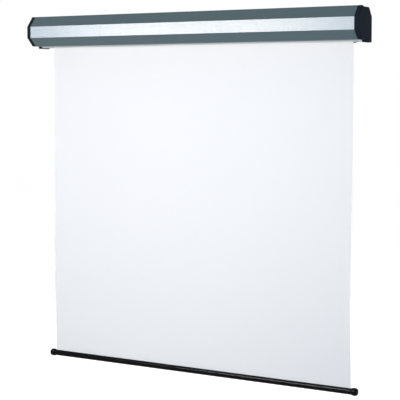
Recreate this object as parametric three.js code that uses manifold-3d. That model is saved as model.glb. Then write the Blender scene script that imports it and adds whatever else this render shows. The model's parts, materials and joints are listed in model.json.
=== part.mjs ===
// Pull down projector screen: a wall case, a sprung roller that winds the cloth, and a weighted bar.
// Lengths are in millimetres. X runs along the screen, +Y points into the wall and +Z is up.
// The origin is on the wall plane, at mid length and at mid height of the silver front band.

import * as THREE from 'three';
import { mergeVertices } from 'three/addons/utils/BufferGeometryUtils.js';
import Module from 'manifold-3d';

const wasm = await Module();
wasm.setup();

// Fits shared by the whole screen
const fitGap = 0.3;
const cutOverrun = 2;
const mergeTolerance = 1e-4;
const coarseSides = 12;
const mediumSides = 28;
const fineSides = 48;

// Cloth and its drop
const clothWidth = 1250;
const clothThickness = 0.5;
const barDrop = 1270;
const clothEdgeCurl = 10;
const clothEdgeNarrowing = 2.2;
const clothCurlReach = 90;
const clothWaistShare = 0.72;
const clothColumns = 20;
const clothRows = 20;

// Case section, front to back
const caseDepth = 124;
const faceHeight = 44;
const upperChamferDepth = 32;
const upperChamferRise = 38.5;
const topLandDepth = 10;
const topStepDepth = 2;
const topStepDrop = 3;
const rearChamferDepth = 26;
const rearChamferDrop = 31;
const lowerChamferDepth = 33;
const lowerChamferDrop = 31;
const footDepth = 50;
const footDrop = 8;
const shellWall = 1.8;

// Pocket for the wall rail behind the shell
const railPocketDepth = 6;
const railPocketLand = 4.5;
const standoffHeight = 8;
const standoffRise = 8;

// Silver front band
const bandThickness = 1.2;

// Slot that the cloth leaves through
const slotFrontReach = 12;
const slotRearReach = 8;
const rearFlangeDrop = 3;
const lipThickness = 1.5;
const lipDrop = 5;
const lipSeatDepth = 14;

// Wall rail
const railThickness = 2;
const railHookGap = 0.6;
const railCornerRise = 3.5;
const railCornerStart = 45;
const railCornerRun = 17;
const railHoleRadius = 2.25;
const railHoleInset = 105;
const railHoleDrop = 11;
const railHolePitch = 38;

// End caps
const capThickness = 17.2;
const capEdgeBevel = 2.4;
const capWall = 3;
const spigotLength = 11;
const spigotWall = 2.2;

// Bearing brackets
const bracketThickness = 2;
const bracketReach = 82;
const bracketRoofGap = 2.4;
const bracketCorner = 16;
const bracketFlangeLength = 30;
const bracketScrewInset = 18;
const screwHookGap = 0.8;
const caseEndReach = 13;

// Pan head screws
const screwShankRadius = 1.5;
const screwHeadRadius = 2.9;
const screwHeadHeight = 2.1;
const screwHoleClearance = 0.4;
const headDomeShare = 0.6;
const capScrewLength = 6;
const bracketScrewLength = 8;
const lockScrewInset = 245;
const capScrewZ = 12;

// Roller and the cloth wound on it
const rollerAxisY = -50;
const rollerTubeRadius = 25;
const rollerTubeWall = 1.2;
const rollerOverhang = 11;
const woundClothDepth = 2.25;

// Roller end plugs
const plugFlangeThickness = 4.4;
const plugFlangeInset = 0.6;
const plugSpigotLength = 38;
const bushWall = 2.7;
const rivetRadius = 1.5;
const rivetHeadRadius = 2.4;
const rivetHeadHeight = 0.8;
const rivetLength = 8;
const rivetInset = 5;

// Idle pin on the left
const idlePinRadius = 4;
const idlePinOverhang = 5;
const idleShoulderRadius = 7;
const idleBushFlange = 3;
const idleBushFlangeThickness = 2.2;

// Fixed spear on the right
const spearRadius = 5;
const spearLength = 360;
const spearFlatThickness = 3.2;
const spearFlatHeight = 8.8;
const spearFlatLength = 9;
const retainerPinRadius = 1;
const retainerPinLength = 16;

// Ratchet
const ratchetRadius = 10;
const ratchetThickness = 4.4;
const ratchetFaceGap = 1;
const ratchetHubRadius = 8;
const ratchetHubLength = 2.8;
const hubBracketGap = 1.1;
const ratchetPinRadius = 0.8;
const notchDepth = 2.6;
const notchAngleDegrees = 25;
const pawlToothWidth = 3.2;
const notchSideClearance = 0.6;
const pawlPivotReach = 8;
const pawlBossRadius = 3.6;
const pawlArmHeight = 4.5;
const pawlRimClearance = 1;
const pawlLiftDegrees = 14;
const pawlPinRadius = 1.5;
const pawlPinHeadRadius = 2.6;
const pawlPinHeadHeight = 1.4;
const pawlPinSeatDepth = 3.2;

// Torsion spring and what holds its ends
const springCoils = 26;
const springStepsPerCoil = 8;
const springSides = 5;
const springWireRadius = 1.1;
const springCoilRadius = 9;
const springTail = 4.4;
const collarRadius = 12;
const collarThickness = 6;
const collarPlugGap = 4;
const anchorThickness = 18;

// Weighted bar
const barRadius = 11.25;
const barWall = 1.5;
const barSlotWidth = 2.4;
const hemRodRadius = 4;
const hemRodEndGap = 3;
const knobRadius = 14;
const knobNeckStep = 0.35;
const knobNeckLength = 2.4;
const knobLength = 26;
const knobSpigotLength = 20;

// Knob outline along its length, as [share of length, share of radius]
const knobShares = [
  [0.19, 0.92], [0.32, 0.99], [0.45, 1], [0.62, 0.99], [0.78, 0.93],
  [0.9, 0.79], [0.97, 0.58], [1, 0.3],
];

// Places worked out from the sizes above
const halfFace = faceHeight / 2;
const frontY = -caseDepth;
const topZ = halfFace + upperChamferRise;
const rearTopZ = topZ - topStepDrop;
const bottomZ = -halfFace - lowerChamferDrop;
const footZ = bottomZ - footDrop;
const clothRollRadius = rollerTubeRadius + woundClothDepth;
const clothPlaneY = rollerAxisY + clothRollRadius;
const lipZ = bottomZ - lipDrop;
const pocketTopZ = rearTopZ - rearChamferDrop - railPocketLand;
const railTopZ = pocketTopZ - fitGap;
const rearFlangeZ = bottomZ - rearFlangeDrop;
const idleBushRadius = idlePinRadius + fitGap + bushWall;
const spearBushRadius = spearRadius + fitGap + bushWall;
const spigotRadius = rollerTubeRadius - rollerTubeWall - fitGap;
const plugFlangeRadius = rollerTubeRadius - plugFlangeInset;
const pawlPivotRadius = ratchetRadius + pawlPivotReach;
const screwHoleRadius = screwShankRadius + screwHoleClearance;
const barBore = barRadius - barWall;
const knobNeckRadius = barRadius - knobNeckStep;
const notchAngle = THREE.MathUtils.degToRad(notchAngleDegrees);
const pawlLift = THREE.MathUtils.degToRad(pawlLiftDegrees);

// Places along X, from the cloth's edge out to the case's end
const clothHalf = clothWidth / 2;
const rollerHalf = clothHalf + rollerOverhang;
const plugInnerX = rollerHalf + fitGap;
const plugFaceX = plugInnerX + plugFlangeThickness;
const plugEndX = plugInnerX - plugSpigotLength;
const rivetX = rollerHalf - rivetInset;
const ratchetX = plugFaceX + ratchetFaceGap;
const ratchetEndX = ratchetX + ratchetThickness;
const ratchetHubEndX = ratchetEndX + ratchetHubLength;
const bracketInnerX = ratchetHubEndX + hubBracketGap;
const bracketX = bracketInnerX + bracketThickness;
const caseHalf = bracketX + caseEndReach;
const spearShoulderX = bracketInnerX - fitGap;
const spearEndX = spearShoulderX - spearLength;
const collarX = plugEndX - collarPlugGap - collarThickness;
const anchorEndX = spearEndX + anchorThickness;

// The bar rises by whole turns of the roller, as far as the case's lip lets it
const rollerTravelPerTurn = 2 * Math.PI * clothRollRadius;
const fullTurns = Math.floor((barDrop + lipZ - barRadius) / rollerTravelPerTurn);
const barTravel = fullTurns * rollerTravelPerTurn;

// Finishes
const slatePaint = new THREE.MeshStandardMaterial({ color: 0x5c6d74, roughness: 0.45, metalness: 0.3 });
const brushedSilver = new THREE.MeshStandardMaterial({ color: 0xd8dde2, roughness: 0.35, metalness: 0.9 });
const bareAluminium = new THREE.MeshStandardMaterial({ color: 0xb4bac2, roughness: 0.4, metalness: 0.9 });
const blackPlastic = new THREE.MeshStandardMaterial({ color: 0x22282d, roughness: 0.55, metalness: 0 });
const blackSteel = new THREE.MeshStandardMaterial({ color: 0x191b1d, roughness: 0.4, metalness: 0.5 });
const glossBlack = new THREE.MeshStandardMaterial({ color: 0x0f1011, roughness: 0.2, metalness: 0.1 });
const zincSteel = new THREE.MeshStandardMaterial({ color: 0x9aa0a4, roughness: 0.4, metalness: 0.9 });
const whiteNylon = new THREE.MeshStandardMaterial({ color: 0xe6e4dc, roughness: 0.6, metalness: 0 });
const whiteCloth = new THREE.MeshStandardMaterial({ color: 0xf2f3f5, roughness: 0.9, metalness: 0 });

// A closed outline from a list of points
function outline(points) {
  return new THREE.Shape(points.map(([a, b]) => new THREE.Vector2(a, b)));
}

// Removes the attributes that keep vertices apart and joins the vertices
function joined(geometry) {
  const bare = geometry.index ? geometry.toNonIndexed() : geometry.clone();
  bare.deleteAttribute('normal');
  bare.deleteAttribute('uv');
  return mergeVertices(bare, mergeTolerance);
}

// Six times the signed volume of a closed geometry
function signedVolume(geometry) {
  const place = geometry.attributes.position;
  const [a, b, c] = [new THREE.Vector3(), new THREE.Vector3(), new THREE.Vector3()];
  let sum = 0;
  for (let i = 0; i < geometry.index.count; i += 3) {
    a.fromBufferAttribute(place, geometry.index.getX(i));
    b.fromBufferAttribute(place, geometry.index.getX(i + 1));
    c.fromBufferAttribute(place, geometry.index.getX(i + 2));
    sum += a.dot(b.cross(c));
  }
  return sum;
}

// Turns every face outward, whichever way the outline was drawn
function facingOut(geometry) {
  if (signedVolume(geometry) >= 0) return geometry;
  const order = Array.from(geometry.index.array);
  for (let i = 0; i < order.length; i += 3) {
    [order[i + 1], order[i + 2]] = [order[i + 2], order[i + 1]];
  }
  geometry.setIndex(order);
  return geometry;
}

// A three.js geometry as a solid for cutting and joining
function solidOf(geometry) {
  const closed = facingOut(joined(geometry));
  return new wasm.Manifold(new wasm.Mesh({
    numProp: 3,
    vertProperties: Float32Array.from(closed.attributes.position.array),
    triVerts: Uint32Array.from(closed.index.array),
  }));
}

// A solid back as a three.js geometry
function geometryOf(solid) {
  const mesh = solid.getMesh();
  const places = new Float32Array(mesh.numVert * 3);
  for (let i = 0; i < mesh.numVert; i += 1) {
    for (let k = 0; k < 3; k += 1) {
      places[3 * i + k] = mesh.vertProperties[mesh.numProp * i + k];
    }
  }
  const geometry = new THREE.BufferGeometry();
  geometry.setAttribute('position', new THREE.BufferAttribute(places, 3));
  geometry.setIndex(Array.from(mesh.triVerts));
  geometry.computeVertexNormals();
  return geometry;
}

// A section in the YZ plane, extruded from x0 to x1
function alongX(shape, x0, x1, curveSegments = coarseSides) {
  const geometry = new THREE.ExtrudeGeometry(shape, { depth: x1 - x0, bevelEnabled: false, curveSegments });
  const turn = new THREE.Matrix4().makeBasis(
    new THREE.Vector3(0, 1, 0),
    new THREE.Vector3(0, 0, 1),
    new THREE.Vector3(1, 0, 0),
  );
  return geometry.applyMatrix4(turn).translate(x0, 0, 0);
}

// A section in the XZ plane, extruded from y0 to y1
function alongY(shape, y0, y1) {
  const geometry = new THREE.ExtrudeGeometry(shape, { depth: y1 - y0, bevelEnabled: false });
  const turn = new THREE.Matrix4().makeBasis(
    new THREE.Vector3(1, 0, 0),
    new THREE.Vector3(0, 0, 1),
    new THREE.Vector3(0, -1, 0),
  );
  return geometry.applyMatrix4(turn).translate(0, y1, 0);
}

// A body turned about the X axis from a list of [x, radius]
function turned(profile, sides = mediumSides) {
  const points = profile.map(([x, radius]) => new THREE.Vector2(radius, x));
  return new THREE.LatheGeometry(points, sides).rotateZ(-Math.PI / 2);
}

// A ring about the X axis
function ring(x0, x1, inner, outer, sides = mediumSides) {
  return turned([[x0, inner], [x0, outer], [x1, outer], [x1, inner], [x0, inner]], sides);
}

// A rod about the X axis
function rod(x0, x1, radius, sides = mediumSides) {
  return turned([[x0, 0], [x0, radius], [x1, radius], [x1, 0]], sides);
}

// A box between two corners
function block(low, high) {
  const size = high.map((value, i) => value - low[i]);
  const centre = high.map((value, i) => (value + low[i]) / 2);
  return new THREE.BoxGeometry(...size).translate(...centre);
}

// A rod along Y, used for holes and screws through the rear wall
function rodAlongY(x, z, y0, y1, radius) {
  return rod(y0, y1, radius, coarseSides).rotateZ(Math.PI / 2).translate(x, 0, z);
}

// An open path moved sideways by a distance, with mitred corners, to its right as it runs
function inset(path, distance) {
  const normals = path.slice(1).map(([a, b], i) => {
    const run = new THREE.Vector2(a - path[i][0], b - path[i][1]).normalize();
    return new THREE.Vector2(run.y, -run.x);
  });
  return path.map(([a, b], i) => {
    const before = normals[Math.max(i - 1, 0)];
    const after = normals[Math.min(i, normals.length - 1)];
    const mitre = before.clone().add(after);
    mitre.multiplyScalar(distance / mitre.dot(after));
    return [a + mitre.x, b + mitre.y];
  });
}

// The point where the line through two points reaches a given first coordinate
function crossing([a0, b0], [a1, b1], a) {
  return [a, b0 + (b1 - b0) * (a - a0) / (a1 - a0)];
}

const screen = new THREE.Group();
const caseGroup = new THREE.Group();
const axleGroup = new THREE.Group();
const rollerGroup = new THREE.Group();
const barGroup = new THREE.Group();
axleGroup.position.set(0, rollerAxisY, 0);
rollerGroup.position.set(0, rollerAxisY, 0);
barGroup.position.set(0, clothPlaneY, -barDrop);
screen.add(caseGroup, axleGroup, rollerGroup, barGroup);

// Adds one named piece to a group
function place(group, name, geometry, material) {
  const mesh = new THREE.Mesh(geometry, material);
  mesh.name = name;
  group.add(mesh);
  return mesh;
}

// Corner points of the case section, from the slot's front edge round to its rear edge
const lowerFront = [frontY + lowerChamferDepth, bottomZ];
const faceBottom = [frontY, -halfFace];
const faceTop = [frontY, halfFace];
const upperFront = [frontY + upperChamferDepth, topZ];
const topLandEnd = [upperFront[0] + topLandDepth, topZ];
const topStepEnd = [topLandEnd[0] + topStepDepth, rearTopZ];
const rearTop = [-rearChamferDepth, rearTopZ];
const rearShoulder = [0, rearTopZ - rearChamferDrop];
const panelEnd = [-footDepth - fitGap, bottomZ];
const pocketCorner = [-railPocketDepth, pocketTopZ];
const rearFlangeCorner = [-railPocketDepth, rearFlangeZ];
const rearFlangeEnd = [clothPlaneY + slotRearReach, rearFlangeZ];

// Front band seat: the shell's face lies behind the band
const seatY = frontY + bandThickness + fitGap;
const seatLow = crossing(lowerFront, faceBottom, seatY);
const seatHigh = crossing(faceTop, upperFront, seatY);

// Inside path of the shell, also followed by the caps' spigots
const shellPath = [
  panelEnd, lowerFront, seatLow, seatHigh, upperFront, topLandEnd, topStepEnd, rearTop,
  rearShoulder, [0, pocketTopZ], pocketCorner, rearFlangeCorner, rearFlangeEnd,
];

// Screw places on the rear wall, as [x, z]
const standoffTopZ = bottomZ + standoffRise + standoffHeight;
const standoffLowZ = bottomZ + standoffRise;
const lockScrewZ = (standoffTopZ + standoffLowZ) / 2;
const lockScrewX = caseHalf - lockScrewInset;
const lockPlaces = [-lockScrewX, 0, lockScrewX].map((x) => [x, lockScrewZ]);
const sides = [['left', -1], ['right', 1]];

const bracketScrewZ = railTopZ - railThickness - screwHookGap - screwHeadRadius;

function bracketPlaces(sign) {
  return [1, -1].map((up) => [sign * (bracketX - bracketScrewInset), up * bracketScrewZ]);
}

function capPlaces(sign) {
  return [1, -1].map((up) => [sign * (caseHalf - spigotLength / 2), up * capScrewZ]);
}

// The brackets stand on the rear wall and stop short of the sloping wall above it
const rearWallFront = -railPocketDepth - shellWall;
const bracketRearY = rearWallFront - fitGap;
const slopeInside = inset([rearTop, rearShoulder], shellWall);
const bracketRise = crossing(slopeInside[0], slopeInside[1], bracketRearY)[1] - bracketRoofGap;

function makeShell() {
  const standoffY = -railThickness - fitGap;
  const outer = [
    panelEnd, lowerFront, faceBottom, [seatY, -halfFace], [seatY, halfFace], faceTop, upperFront,
    topLandEnd, topStepEnd, rearTop, rearShoulder, [0, pocketTopZ], pocketCorner,
    [-railPocketDepth, standoffTopZ], [standoffY, standoffTopZ], [standoffY, standoffLowZ],
    [-railPocketDepth, standoffLowZ], rearFlangeCorner, rearFlangeEnd,
  ];
  const section = outline([...outer, ...inset(shellPath, shellWall).reverse()]);
  let shell = solidOf(alongX(section, -caseHalf, caseHalf));
  const holes = [...lockPlaces];
  for (const [, sign] of sides) holes.push(...bracketPlaces(sign), ...capPlaces(sign));
  for (const [x, z] of holes) {
    const hole = rodAlongY(x, z, rearWallFront - cutOverrun, standoffY + cutOverrun, screwHoleRadius);
    shell = shell.subtract(solidOf(hole));
  }
  place(caseGroup, 'case_shell', geometryOf(shell), slatePaint);
}

function makeFrontBand() {
  const low = [-caseHalf, frontY, -halfFace + fitGap];
  const high = [caseHalf, frontY + bandThickness, halfFace - fitGap];
  place(caseGroup, 'front_band', block(low, high), brushedSilver);
}

// Bare lip along the slot: it lies on the bottom panel inside and turns down and back outside
function makeSlotLip() {
  const seatZ = bottomZ + shellWall + fitGap;
  const legFront = -footDepth;
  const slotEdge = clothPlaneY - slotFrontReach;
  const section = outline([
    [legFront, lipZ], [slotEdge, lipZ], [slotEdge, lipZ + lipThickness],
    [legFront + lipThickness, lipZ + lipThickness], [legFront + lipThickness, seatZ + lipThickness],
    [legFront - lipSeatDepth, seatZ + lipThickness], [legFront - lipSeatDepth, seatZ],
    [legFront, seatZ],
  ]);
  place(caseGroup, 'slot_lip', alongX(section, -caseHalf, caseHalf), bareAluminium);
}

// Steel rail that is screwed to the wall; the shell hangs on its top fold
function makeWallRail() {
  const half = caseHalf - fitGap;
  const cornerX = half - railCornerStart + railCornerRun;
  const web = outline([
    [-half, railTopZ], [-half, footZ + railCornerRise], [-cornerX, footZ + railCornerRise],
    [-half + railCornerStart, footZ], [half - railCornerStart, footZ],
    [cornerX, footZ + railCornerRise], [half, footZ + railCornerRise], [half, railTopZ],
  ]);
  let rail = solidOf(alongY(web, -railThickness, 0));
  const hookFront = -railPocketDepth + railHookGap;
  rail = rail.add(solidOf(block([-half, hookFront, railTopZ - railThickness], [half, 0, railTopZ])));
  const holes = [...lockPlaces];
  const wallHoleX = caseHalf - railHoleInset;
  const wallHoleZ = pocketTopZ - railHoleDrop;
  for (const x of [-wallHoleX, 0, wallHoleX]) holes.push([x, wallHoleZ], [x, wallHoleZ - railHolePitch]);
  for (const [x, z] of holes) {
    const hole = rodAlongY(x, z, -railThickness - cutOverrun, cutOverrun, railHoleRadius);
    rail = rail.subtract(solidOf(hole));
  }
  place(caseGroup, 'wall_rail', geometryOf(rail), blackSteel);
}

// A closed body through sections of equal point counts, each at its own x
function loft(sections) {
  const count = sections[0].points.length;
  const places = sections.flatMap(({ x, points }) => points.flatMap(([y, z]) => [x, y, z]));
  const faces = [];
  for (let s = 0; s + 1 < sections.length; s += 1) {
    for (let i = 0; i < count; i += 1) {
      const j = (i + 1) % count;
      const [a, b, c, d] = [s * count + i, s * count + j, (s + 1) * count + j, (s + 1) * count + i];
      faces.push(a, b, c, a, c, d);
    }
  }
  for (const [s, isFirst] of [[0, true], [sections.length - 1, false]]) {
    const ends = sections[s].points.map(([y, z]) => new THREE.Vector2(y, z));
    const flip = isFirst !== THREE.ShapeUtils.isClockWise(ends);
    for (const [a, b, c] of THREE.ShapeUtils.triangulateShape(ends, [])) {
      faces.push(...(flip ? [a, c, b] : [a, b, c]).map((i) => s * count + i));
    }
  }
  const geometry = new THREE.BufferGeometry();
  geometry.setAttribute('position', new THREE.BufferAttribute(Float32Array.from(places), 3));
  geometry.setIndex(faces);
  return geometry;
}

// Outline of an end cap, and the same outline drawn in on every side
const capOutline = [
  [-footDepth, footZ], [-footDepth, bottomZ], lowerFront, faceBottom, faceTop, upperFront,
  topLandEnd, topStepEnd, rearTop, rearShoulder, [0, footZ],
];

function drawnIn(points, distance) {
  const closed = [points[points.length - 1], ...points, points[0]];
  return inset(closed, distance).slice(1, -1);
}

function makeEndCap(name, sign) {
  const innerX = caseHalf + fitGap;
  const outerX = innerX + capThickness;
  let cap = solidOf(loft([
    { x: innerX, points: capOutline },
    { x: outerX - capEdgeBevel, points: capOutline },
    { x: outerX, points: drawnIn(capOutline, capEdgeBevel) },
  ]));
  const hollow = drawnIn(capOutline, capWall);
  cap = cap.subtract(solidOf(loft([
    { x: innerX - cutOverrun, points: hollow },
    { x: outerX - capWall, points: hollow },
  ])));
  const spigotOuter = inset(shellPath, shellWall + fitGap).slice(1, -2);
  const spigotInner = inset(shellPath, shellWall + fitGap + spigotWall).slice(1, -2);
  const spigot = outline([...spigotOuter, ...spigotInner.reverse()]);
  cap = cap.add(solidOf(alongX(spigot, caseHalf - spigotLength, outerX - capWall + fitGap)));
  if (sign < 0) cap = cap.mirror([1, 0, 0]);
  for (const [x, z] of capPlaces(sign)) {
    const boss = rearWallFront - fitGap;
    const hole = rodAlongY(x, z, boss - spigotWall - cutOverrun, boss + cutOverrun, screwHoleRadius);
    cap = cap.subtract(solidOf(hole));
  }
  place(caseGroup, name, geometryOf(cap), blackPlastic);
}

// Bearing bracket: a plate across the case with a flange on the rear wall
function makeBracket(name, sign, bearingCut) {
  const rear = bracketRearY;
  const front = rear - bracketReach;
  const plate = outline([
    [rear, -bracketRise], [front + bracketCorner, -bracketRise], [front, -bracketRise + bracketCorner],
    [front, bracketRise - bracketCorner], [front + bracketCorner, bracketRise], [rear, bracketRise],
  ]);
  let bracket = solidOf(alongX(plate, bracketX - bracketThickness, bracketX));
  const flange = block(
    [bracketX - bracketFlangeLength, rear - bracketThickness, -bracketRise],
    [bracketX, rear, bracketRise],
  );
  bracket = bracket.add(solidOf(flange));
  bracket = bracket.subtract(solidOf(bearingCut));
  if (sign < 0) bracket = bracket.mirror([1, 0, 0]);
  for (const [x, z] of bracketPlaces(sign)) {
    const hole = rodAlongY(x, z, rear - bracketThickness - cutOverrun, rear + cutOverrun, screwHoleRadius);
    bracket = bracket.subtract(solidOf(hole));
  }
  place(caseGroup, name, geometryOf(bracket), zincSteel);
}

// Pan head screw along Y: the head's bearing face is at y, the shank runs towards `way`
function screw(name, x, z, y, way, length) {
  const profile = [
    [-screwHeadHeight, 0], [-screwHeadHeight, screwHeadRadius * headDomeShare],
    [-screwHeadHeight * headDomeShare, screwHeadRadius], [0, screwHeadRadius],
    [0, screwShankRadius], [length, screwShankRadius], [length, 0],
  ];
  const body = turned(profile, coarseSides).rotateZ(way * Math.PI / 2).translate(x, y, z);
  place(caseGroup, name, body, zincSteel);
}

function makeFasteners() {
  const rearFace = -railPocketDepth + fitGap;
  lockPlaces.forEach(([x, z], i) => {
    const length = -rearWallFront - fitGap;
    screw(`lock_screw_${i + 1}`, x, z, rearWallFront - fitGap, 1, length);
  });
  for (const [side, sign] of sides) {
    bracketPlaces(sign).forEach(([x, z], i) => {
      screw(`${side}_bracket_screw_${i + 1}`, x, z, rearFace, -1, bracketScrewLength);
    });
    capPlaces(sign).forEach(([x, z], i) => {
      screw(`${side}_cap_screw_${i + 1}`, x, z, rearFace, -1, capScrewLength);
    });
  }
}

// Bearing seats in the two brackets, cut at the roller axis
function makeBrackets() {
  const x0 = bracketX - bracketThickness - cutOverrun;
  const x1 = bracketX + cutOverrun;
  const roundSeat = rod(x0, x1, idleBushRadius + fitGap).translate(0, rollerAxisY, 0);
  makeBracket('left_bracket', -1, roundSeat);
  const halfSlot = spearFlatThickness / 2 + fitGap;
  const halfHeight = spearFlatHeight / 2 + fitGap;
  const flatSeat = block(
    [x0, rollerAxisY - halfSlot, -halfHeight],
    [x1, rollerAxisY + halfSlot, halfHeight],
  );
  makeBracket('right_bracket', 1, flatSeat);
}

// Hanging cloth: it leaves the roll, passes the slot and ends in the bar
function makeCloth() {
  const outerRoll = clothRollRadius + clothThickness / 2;
  const clearRoll = clothRollRadius - clothThickness / 2 - fitGap;
  const topEdge = -Math.sqrt(outerRoll ** 2 - clearRoll ** 2);
  const bottomEdge = -barDrop + barBore;
  const places = [];
  for (const face of [-1, 1]) {
    for (let row = 0; row <= clothRows; row += 1) {
      const share = row / clothRows;
      const bow = Math.sin(Math.PI * share ** (Math.log(0.5) / Math.log(clothWaistShare))) ** 2;
      for (let column = 0; column <= clothColumns; column += 1) {
        const across = 2 * column / clothColumns - 1;
        const flat = across * clothHalf;
        const toEdge = clothHalf - Math.abs(flat);
        const curl = clothEdgeCurl * bow * Math.max(0, 1 - toEdge / clothCurlReach) ** 2;
        const x = across * (clothHalf - clothEdgeNarrowing * bow);
        const z = topEdge + (bottomEdge - topEdge) * share;
        places.push(x, clothPlaneY - curl + face * clothThickness / 2, z);
      }
    }
  }
  const perRow = clothColumns + 1;
  const perFace = perRow * (clothRows + 1);
  const faces = [];
  const quad = (a, b, c, d) => faces.push(a, b, c, a, c, d);
  for (let row = 0; row < clothRows; row += 1) {
    for (let column = 0; column < clothColumns; column += 1) {
      const a = row * perRow + column;
      quad(a, a + perRow, a + perRow + 1, a + 1);
      quad(perFace + a, perFace + a + 1, perFace + a + perRow + 1, perFace + a + perRow);
    }
  }
  for (let column = 0; column < clothColumns; column += 1) {
    const low = clothRows * perRow + column;
    quad(column, column + 1, perFace + column + 1, perFace + column);
    quad(low, perFace + low, perFace + low + 1, low + 1);
  }
  for (let row = 0; row < clothRows; row += 1) {
    const left = row * perRow;
    const right = left + clothColumns;
    quad(left, perFace + left, perFace + left + perRow, left + perRow);
    quad(right, right + perRow, perFace + right + perRow, perFace + right);
  }
  const geometry = new THREE.BufferGeometry();
  geometry.setAttribute('position', new THREE.BufferAttribute(Float32Array.from(places), 3));
  geometry.setIndex(faces);
  place(caseGroup, 'screen_cloth', facingOut(geometry), whiteCloth);
}

// A rod along Z about a place on the X axis, between two distances from the axis
function radialRod(x, low, high, radius) {
  return rod(low, high, radius, coarseSides).rotateY(-Math.PI / 2).translate(x, 0, 0);
}

function withRadialHoles(solid, x, low, radius) {
  let cut = solid;
  for (const up of [1, -1]) {
    const hole = radialRod(x, low, rollerTubeRadius + cutOverrun, radius).rotateX(up > 0 ? 0 : Math.PI);
    cut = cut.subtract(solidOf(hole));
  }
  return cut;
}

// Roller tube, the cloth still wound on it at full drop, and the rivets of the end plugs
function makeRoller() {
  let tube = solidOf(ring(
    -rollerHalf, rollerHalf, rollerTubeRadius - rollerTubeWall, rollerTubeRadius, fineSides,
  ));
  for (const [side, sign] of sides) {
    tube = withRadialHoles(tube, sign * rivetX, spigotRadius - cutOverrun, rivetRadius + fitGap);
    for (const [number, turn] of [[1, 0], [2, Math.PI]]) {
      const headBase = rollerTubeRadius + fitGap;
      const profile = [
        [rollerTubeRadius - rivetLength, 0], [rollerTubeRadius - rivetLength, rivetRadius],
        [headBase, rivetRadius], [headBase, rivetHeadRadius],
        [headBase + rivetHeadHeight, rivetHeadRadius * headDomeShare], [headBase + rivetHeadHeight, 0],
      ];
      const rivet = turned(profile, coarseSides).rotateY(-Math.PI / 2).translate(sign * rivetX, 0, 0);
      place(rollerGroup, `${side}_plug_rivet_${number}`, rivet.rotateX(turn), zincSteel);
    }
  }
  place(rollerGroup, 'roller_tube', geometryOf(tube), bareAluminium);
  const wound = ring(
    -clothHalf, clothHalf, rollerTubeRadius + fitGap, clothRollRadius + clothThickness / 2, fineSides,
  );
  place(rollerGroup, 'cloth_roll', wound, whiteCloth);
}

// End plug with its flange outside the tube and its spigot inside
function plugBody(bore) {
  const plug = solidOf(turned([
    [plugFaceX, bore], [plugFaceX, plugFlangeRadius], [plugInnerX, plugFlangeRadius],
    [plugInnerX, spigotRadius], [plugEndX, spigotRadius], [plugEndX, bore], [plugFaceX, bore],
  ]));
  return withRadialHoles(plug, rivetX, rollerTubeRadius - rivetLength - fitGap, rivetRadius + fitGap);
}

// Left end: the plug turns with a pin that runs in a bush in the left bracket
function makeIdleEnd() {
  const plug = plugBody(idlePinRadius + fitGap).mirror([1, 0, 0]);
  place(rollerGroup, 'idle_plug', geometryOf(plug), whiteNylon);
  const bushFaceX = bracketInnerX - fitGap - idleBushFlangeThickness;
  const pin = turned([
    [plugEndX + fitGap, 0], [plugEndX + fitGap, idlePinRadius], [plugFaceX + fitGap, idlePinRadius],
    [plugFaceX + fitGap, idleShoulderRadius], [bushFaceX - fitGap, idleShoulderRadius],
    [bushFaceX - fitGap, idlePinRadius], [bracketX + idlePinOverhang, idlePinRadius],
    [bracketX + idlePinOverhang, 0],
  ]);
  place(rollerGroup, 'idle_pin', pin.rotateY(Math.PI), zincSteel);
  const flangeRadius = idleBushRadius + idleBushFlange;
  const inner = idlePinRadius + fitGap;
  const bushEnd = bracketX + bracketThickness;
  const bush = turned([
    [bushFaceX, inner], [bushFaceX, flangeRadius], [bracketInnerX - fitGap, flangeRadius],
    [bracketInnerX - fitGap, idleBushRadius], [bushEnd, idleBushRadius], [bushEnd, inner],
    [bushFaceX, inner],
  ]);
  place(axleGroup, 'idle_bush', bush.rotateY(Math.PI), whiteNylon);
}

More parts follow.
